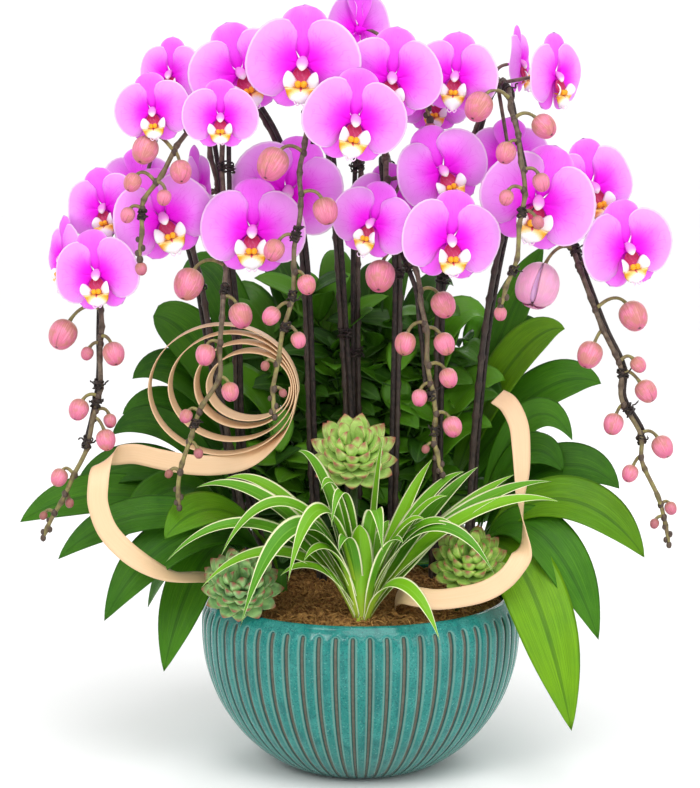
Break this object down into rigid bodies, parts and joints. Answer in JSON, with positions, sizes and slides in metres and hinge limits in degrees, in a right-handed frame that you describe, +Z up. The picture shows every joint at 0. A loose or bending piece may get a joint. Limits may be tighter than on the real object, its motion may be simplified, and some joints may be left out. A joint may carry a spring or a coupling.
{
  "type": "potted moth orchid",
  "caption": "Cascading moth orchids with buds, staked stems, arching leaves and curled wood strips in a round ribbed glazed bowl.",
  "frame": {"origin": "centre of the bowl's flat foot, on the surface that it stands on", "axes": "+Z up; the front of the arrangement, where the blooms face, is -Y; +X is the viewer's right from the front"},
  "size_m": [0.6504, 0.471, 0.7878],
  "materials": {
    "glaze": "gloss",
    "medium": "matte",
    "petal": "satin",
    "spike": "satin",
    "stake": "satin",
    "leaf": "gloss",
    "filler": "satin",
    "grass": "satin",
    "rosette": "satin",
    "veneer": "satin"
  },
  "bodies": {
    "root": {"pot": "glaze", "potting_medium": "medium", "bloom_01": "petal", "bloom_02": "petal", "bloom_03": "petal", "bloom_04": "petal", "bloom_05": "petal", "bloom_06": "petal", "bloom_07": "petal", "bloom_08": "petal", "bloom_09": "petal", "bloom_10": "petal", "bloom_11": "petal", "bloom_12": "petal", "bloom_13": "petal", "bloom_14": "petal", "bloom_15": "petal", "bloom_16": "petal", "bloom_17": "petal", "bloom_18": "petal", "bloom_19": "petal", "bloom_20": "petal", "bloom_21": "petal", "bloom_22": "petal", "bloom_23": "petal", "bloom_24": "petal", "bloom_25": "petal", "bloom_26": "petal", "bloom_27": "petal", "bloom_28": "petal", "filler_foliage": "filler", "leaves_back": "leaf", "leaves_left": "leaf", "leaves_left_back": "leaf", "leaves_left_front": "leaf", "leaves_right": "leaf", "leaves_right_back": "leaf", "leaves_right_front": "leaf", "spike_centre_back": "spike", "spike_centre_left": "spike", "spike_centre_right": "spike", "spike_far_left": "spike", "spike_far_right": "spike", "spike_left_middle": "spike", "spike_upper_left": "spike", "spike_upper_right": "spike", "stake_centre_back": "stake", "stake_centre_left": "stake", "stake_centre_right": "stake", "stake_far_left": "stake", "stake_far_right": "stake", "stake_left_middle": "stake", "stake_upper_left": "stake", "stake_upper_right": "stake", "striped_grass": "grass", "succulent_centre": "rosette", "succulent_left": "rosette", "succulent_right": "rosette", "veneer_strip_left": "veneer", "veneer_strip_right": "veneer"}
  },
  "joints": []
}
